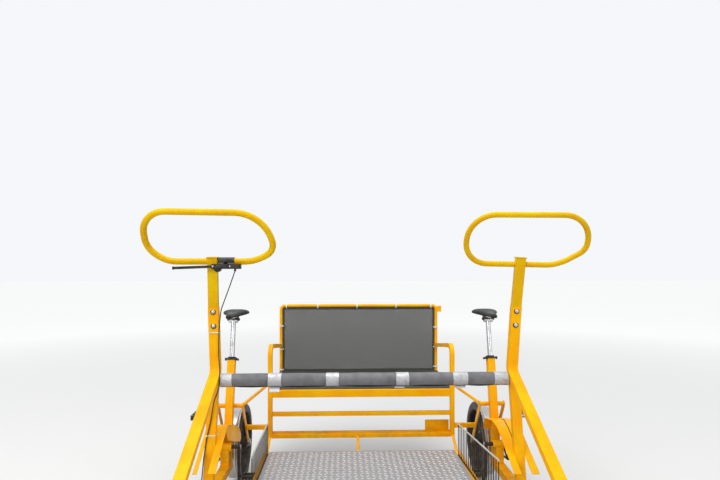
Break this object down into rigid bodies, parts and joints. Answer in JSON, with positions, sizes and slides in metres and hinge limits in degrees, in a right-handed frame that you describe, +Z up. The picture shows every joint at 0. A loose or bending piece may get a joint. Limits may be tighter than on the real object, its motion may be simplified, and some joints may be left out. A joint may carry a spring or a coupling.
{
  "type": "pedal rail car",
  "caption": "Open four-wheel pedal car for railway track, with two saddles over the rails, loop handlebars, a chequer-plate floor and a net bench.",
  "frame": {"origin": "under the middle of the car, on the plane that the wheel flanges stand on", "axes": "+X to the right of a viewer in front of the car, +Y towards its rear, +Z up"},
  "size_m": [2.1567, 2.19, 1.5469],
  "materials": {
    "black_metal": "satin",
    "black_plastic": "matt",
    "bright_steel": "zinc plated",
    "cable_black": "sheathed",
    "chain_steel": "oily, a little rust",
    "chequer_plate": "tear-drop tread",
    "chrome_post": "polished",
    "grey_foam": "foam",
    "guard_wire": "galvanised",
    "net_cloth": "open mesh",
    "olive_yellow_paint": "gloss, worn",
    "saddle_cover": "satin",
    "silver_tape": "cloth tape",
    "wheel_black": "black paint, polished tread",
    "yellow_paint": "gloss, worn"
  },
  "bodies": {
    "chassis": {"axle_pins_left": "bright_steel", "axle_pins_right": "bright_steel", "back_net": "net_cloth", "backrest_frame": "yellow_paint", "bench_braces": "yellow_paint", "bench_end_left": "yellow_paint", "bench_end_right": "yellow_paint", "bench_front": "yellow_paint", "brake_cable": "cable_black", "brake_lever": "black_metal", "brake_shoe": "black_metal", "chain_cover_left": "yellow_paint", "chain_cover_right": "yellow_paint", "chain_left": "chain_steel", "chain_right": "chain_steel", "crossbar": "yellow_paint", "crossbar_foam": "grey_foam", "crossbar_tape": "silver_tape", "floor_frame": "yellow_paint", "floor_plate": "chequer_plate", "guard_left": "guard_wire", "guard_right": "guard_wire", "handlebar_left": "olive_yellow_paint", "handlebar_right": "olive_yellow_paint", "lower_frame_left": "yellow_paint", "lower_frame_right": "yellow_paint", "post_leg_left": "yellow_paint", "post_leg_right": "yellow_paint", "rear_stay_left": "yellow_paint", "rear_stay_right": "yellow_paint", "seat_net": "net_cloth", "seat_tube_left": "yellow_paint", "seat_tube_right": "yellow_paint", "stem_left": "olive_yellow_paint", "stem_right": "olive_yellow_paint", "strut_left": "yellow_paint", "strut_right": "yellow_paint", "tow_lug_front": "yellow_paint", "tow_lug_rear": "yellow_paint"},
    "wheel_front_left": {"wheel_front_left": "wheel_black"},
    "wheel_rear_left": {"wheel_rear_left": "wheel_black"},
    "crank_left": {"crankset_left": "black_metal"},
    "pedal_left_inner": {"pedal_left_inner": "black_plastic"},
    "pedal_left_outer": {"pedal_left_outer": "black_plastic"},
    "saddle_left": {"saddle_left": "saddle_cover", "seatpost_left": "chrome_post"},
    "wheel_front_right": {"wheel_front_right": "wheel_black"},
    "wheel_rear_right": {"wheel_rear_right": "wheel_black"},
    "crank_right": {"crankset_right": "black_metal"},
    "pedal_right_inner": {"pedal_right_inner": "black_plastic"},
    "pedal_right_outer": {"pedal_right_outer": "black_plastic"},
    "saddle_right": {"saddle_right": "saddle_cover", "seatpost_right": "chrome_post"}
  },
  "joints": [
    {"name": "wheel_front_left_turn", "type": "hinge", "parent": "chassis", "child": "wheel_front_left", "pos_m": [-0.745, -0.87, 0.225], "axis": [1, 0, 0], "continuous": true},
    {"name": "wheel_rear_left_turn", "type": "hinge", "parent": "chassis", "child": "wheel_rear_left", "pos_m": [-0.745, 0.58, 0.225], "axis": [1, 0, 0], "continuous": true},
    {"name": "crank_left_turn", "type": "hinge", "parent": "chassis", "child": "crank_left", "pos_m": [-0.745, 0.265, 0.305], "axis": [1, 0, 0], "continuous": true},
    {"name": "pedal_left_inner_turn", "type": "hinge", "parent": "crank_left", "child": "pedal_left_inner", "pos_m": [-0.616, 0.265, 0.135], "axis": [1, 0, 0], "continuous": true},
    {"name": "pedal_left_outer_turn", "type": "hinge", "parent": "crank_left", "child": "pedal_left_outer", "pos_m": [-0.874, 0.265, 0.475], "axis": [1, 0, 0], "continuous": true},
    {"name": "saddle_left_height", "type": "slide", "parent": "chassis", "child": "saddle_left", "axis": [0, 0.2182, 0.9759], "range_m": [-0.1, 0.08]},
    {"name": "wheel_front_right_turn", "type": "hinge", "parent": "chassis", "child": "wheel_front_right", "pos_m": [0.745, -0.87, 0.225], "axis": [1, 0, 0], "continuous": true},
    {"name": "wheel_rear_right_turn", "type": "hinge", "parent": "chassis", "child": "wheel_rear_right", "pos_m": [0.745, 0.58, 0.225], "axis": [1, 0, 0], "continuous": true},
    {"name": "crank_right_turn", "type": "hinge", "parent": "chassis", "child": "crank_right", "pos_m": [0.745, 0.265, 0.305], "axis": [1, 0, 0], "continuous": true},
    {"name": "pedal_right_inner_turn", "type": "hinge", "parent": "crank_right", "child": "pedal_right_inner", "pos_m": [0.616, 0.265, 0.135], "axis": [1, 0, 0], "continuous": true},
    {"name": "pedal_right_outer_turn", "type": "hinge", "parent": "crank_right", "child": "pedal_right_outer", "pos_m": [0.874, 0.265, 0.475], "axis": [1, 0, 0], "continuous": true},
    {"name": "saddle_right_height", "type": "slide", "parent": "chassis", "child": "saddle_right", "axis": [0, 0.2182, 0.9759], "range_m": [-0.1, 0.08]}
  ]
}
